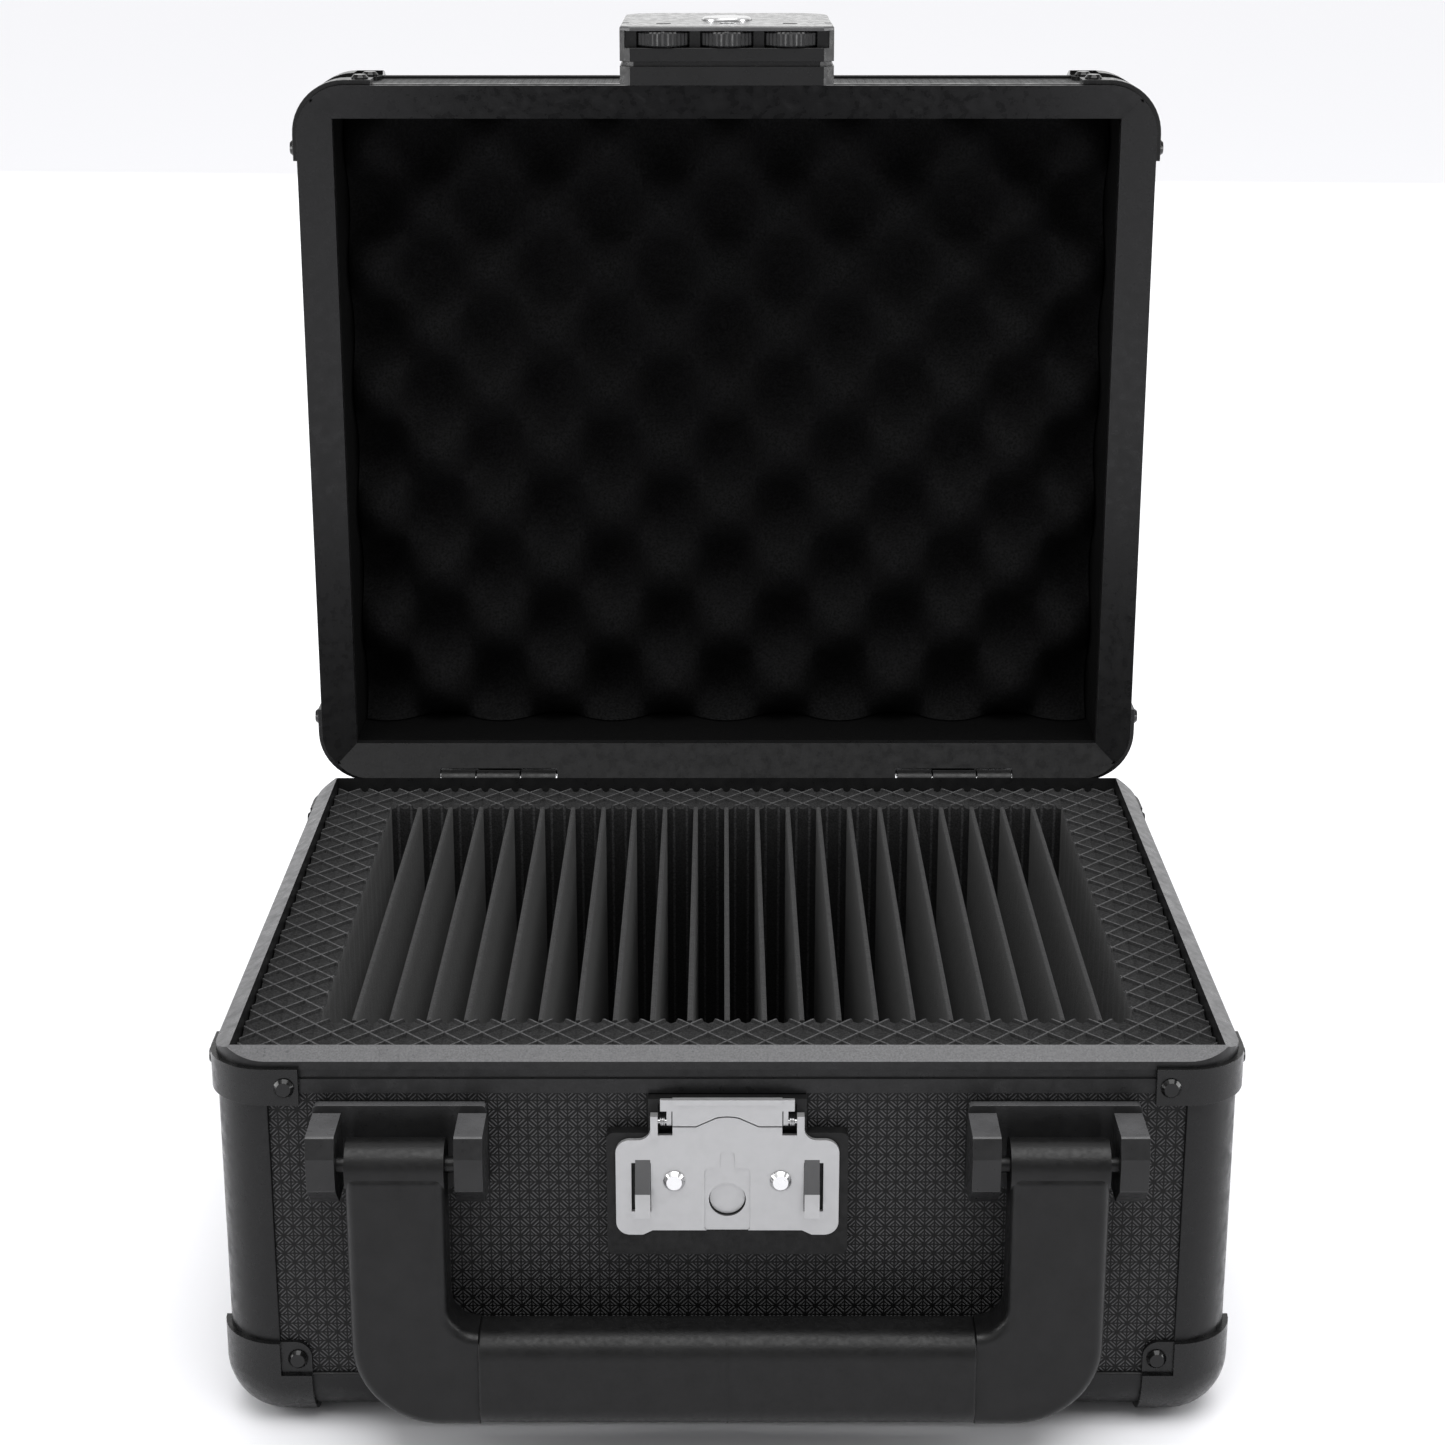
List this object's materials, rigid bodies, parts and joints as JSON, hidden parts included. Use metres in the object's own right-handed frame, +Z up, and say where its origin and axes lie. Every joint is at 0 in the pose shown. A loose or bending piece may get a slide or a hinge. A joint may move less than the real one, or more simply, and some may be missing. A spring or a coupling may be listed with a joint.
{
  "type": "aluminum attache case",
  "caption": "Open black framed hard case with a slotted foam insert, egg-crate lid foam, riveted corners, a folding handle and a combination hasp.",
  "frame": {"origin": "centre of the bounding box, on the floor the case stands on", "axes": "+Z up; +X along the case's width, to the right seen from the front; -Y towards the handle and the strike plate"},
  "size_m": [0.2164, 0.2393, 0.2818],
  "materials": {
    "panel_black": "satin",
    "frame_black": "satin",
    "rim_black": "satin",
    "corner_black": "satin",
    "rivet_black": "satin",
    "hinge_black": "satin",
    "bracket_black": "satin",
    "steel_pins": "satin",
    "foam_black": "matte",
    "lining_black": "matte",
    "satin_plate": "satin",
    "pad_black": "matte",
    "handle_plastic": "satin",
    "lock_black": "satin",
    "lock_face": "satin",
    "dial_black": "satin",
    "button_chrome": "polished"
  },
  "bodies": {
    "base": {"base_bottom_panel": "panel_black", "base_front_panel": "panel_black", "base_rear_panel": "panel_black", "base_left_panel": "panel_black", "base_right_panel": "panel_black", "base_corner_posts": "frame_black", "base_front_and_rear_rails": "frame_black", "base_side_rails": "frame_black", "base_rim": "rim_black", "base_ball_corners": "corner_black", "base_rim_corners": "corner_black", "base_corner_rivets": "rivet_black", "slotted_foam_insert": "foam_black", "hinge_base_leaf_left": "hinge_black", "hinge_base_leaf_right": "hinge_black", "hinge_pins": "steel_pins", "hinge_base_rivets": "hinge_black", "handle_bracket_left": "bracket_black", "handle_bracket_right": "bracket_black", "handle_pins": "steel_pins", "strike_pad": "pad_black", "strike_plate": "satin_plate", "strike_rivets": "steel_pins", "strike_screw": "steel_pins", "flap_pins": "steel_pins", "flap_springs": "steel_pins"},
    "strike_flap": {"strike_flap": "satin_plate"},
    "handle": {"handle_frame": "handle_plastic", "handle_grip": "handle_plastic"},
    "lid": {"lid_top_panel": "panel_black", "lid_front_panel": "panel_black", "lid_rear_panel": "panel_black", "lid_left_panel": "panel_black", "lid_right_panel": "panel_black", "lid_corner_posts": "frame_black", "lid_front_and_rear_rails": "frame_black", "lid_side_rails": "frame_black", "lid_rim": "rim_black", "lid_ball_corners": "corner_black", "lid_rim_corners": "corner_black", "lid_corner_rivets": "rivet_black", "lid_side_lining": "lining_black", "lid_egg_crate_foam": "foam_black", "hinge_lid_leaf_left": "hinge_black", "hinge_lid_leaf_right": "hinge_black", "hinge_lid_rivets": "hinge_black", "lock_hinge_leaf": "hinge_black", "lock_leaf_rivets": "steel_pins", "lock_hinge_pin": "steel_pins"},
    "lock": {"lock_back_shell": "lock_black", "lock_housing": "lock_black", "lock_face_plate": "lock_face", "dial_posts": "steel_pins", "button_spring": "steel_pins"},
    "dial_left": {"dial_left": "dial_black"},
    "dial_middle": {"dial_middle": "dial_black"},
    "dial_right": {"dial_right": "dial_black"},
    "button": {"lock_button": "button_chrome"},
    "bolt": {"lock_bolt": "steel_pins"}
  },
  "joints": [
    {"name": "lid_hinge", "type": "hinge", "parent": "base", "child": "lid", "pos_m": [0, 0.0762, 0.085], "axis": [1, 0, 0], "range_deg": [0, 90]},
    {"name": "handle_swing", "type": "hinge", "parent": "base", "child": "handle", "pos_m": [0, -0.1125, 0.0665], "axis": [-1, 0, 0], "range_deg": [0, 90]},
    {"name": "strike_flap_hinge", "type": "hinge", "parent": "base", "child": "strike_flap", "pos_m": [0, -0.106, 0.073], "axis": [1, 0, 0], "range_deg": [0, 15], "stiffness_Nm_per_rad": 0.02, "springref_deg": -11.46},
    {"name": "hasp_hinge", "type": "hinge", "parent": "lid", "child": "lock", "pos_m": [0, 0.0812, 0.2706], "axis": [-1, 0, 0], "range_deg": [0, 90]},
    {"name": "dial_left_spin", "type": "hinge", "parent": "lock", "child": "dial_left", "pos_m": [-0.0147, 0.0401, 0.2782], "axis": [0, 0, 1], "continuous": true},
    {"name": "dial_middle_spin", "type": "hinge", "parent": "lock", "child": "dial_middle", "pos_m": [0, 0.0401, 0.2782], "axis": [0, 0, 1], "continuous": true},
    {"name": "dial_right_spin", "type": "hinge", "parent": "lock", "child": "dial_right", "pos_m": [0.0147, 0.0401, 0.2782], "axis": [0, 0, 1], "continuous": true},
    {"name": "button_press", "type": "slide", "parent": "lock", "child": "button", "axis": [0, 0, -1], "range_m": [0, 0.0015], "stiffness_N_per_m": 400, "springref_m": -0.002, "deforming": ["button_spring"]},
    {"name": "bolt_slide", "type": "slide", "parent": "lock", "child": "bolt", "axis": [0, 1, 0], "range_m": [0, 0.0015]}
  ],
  "couplings": [
    {"joint": "bolt_slide", "follows": "button_press", "ratio": 1}
  ]
}
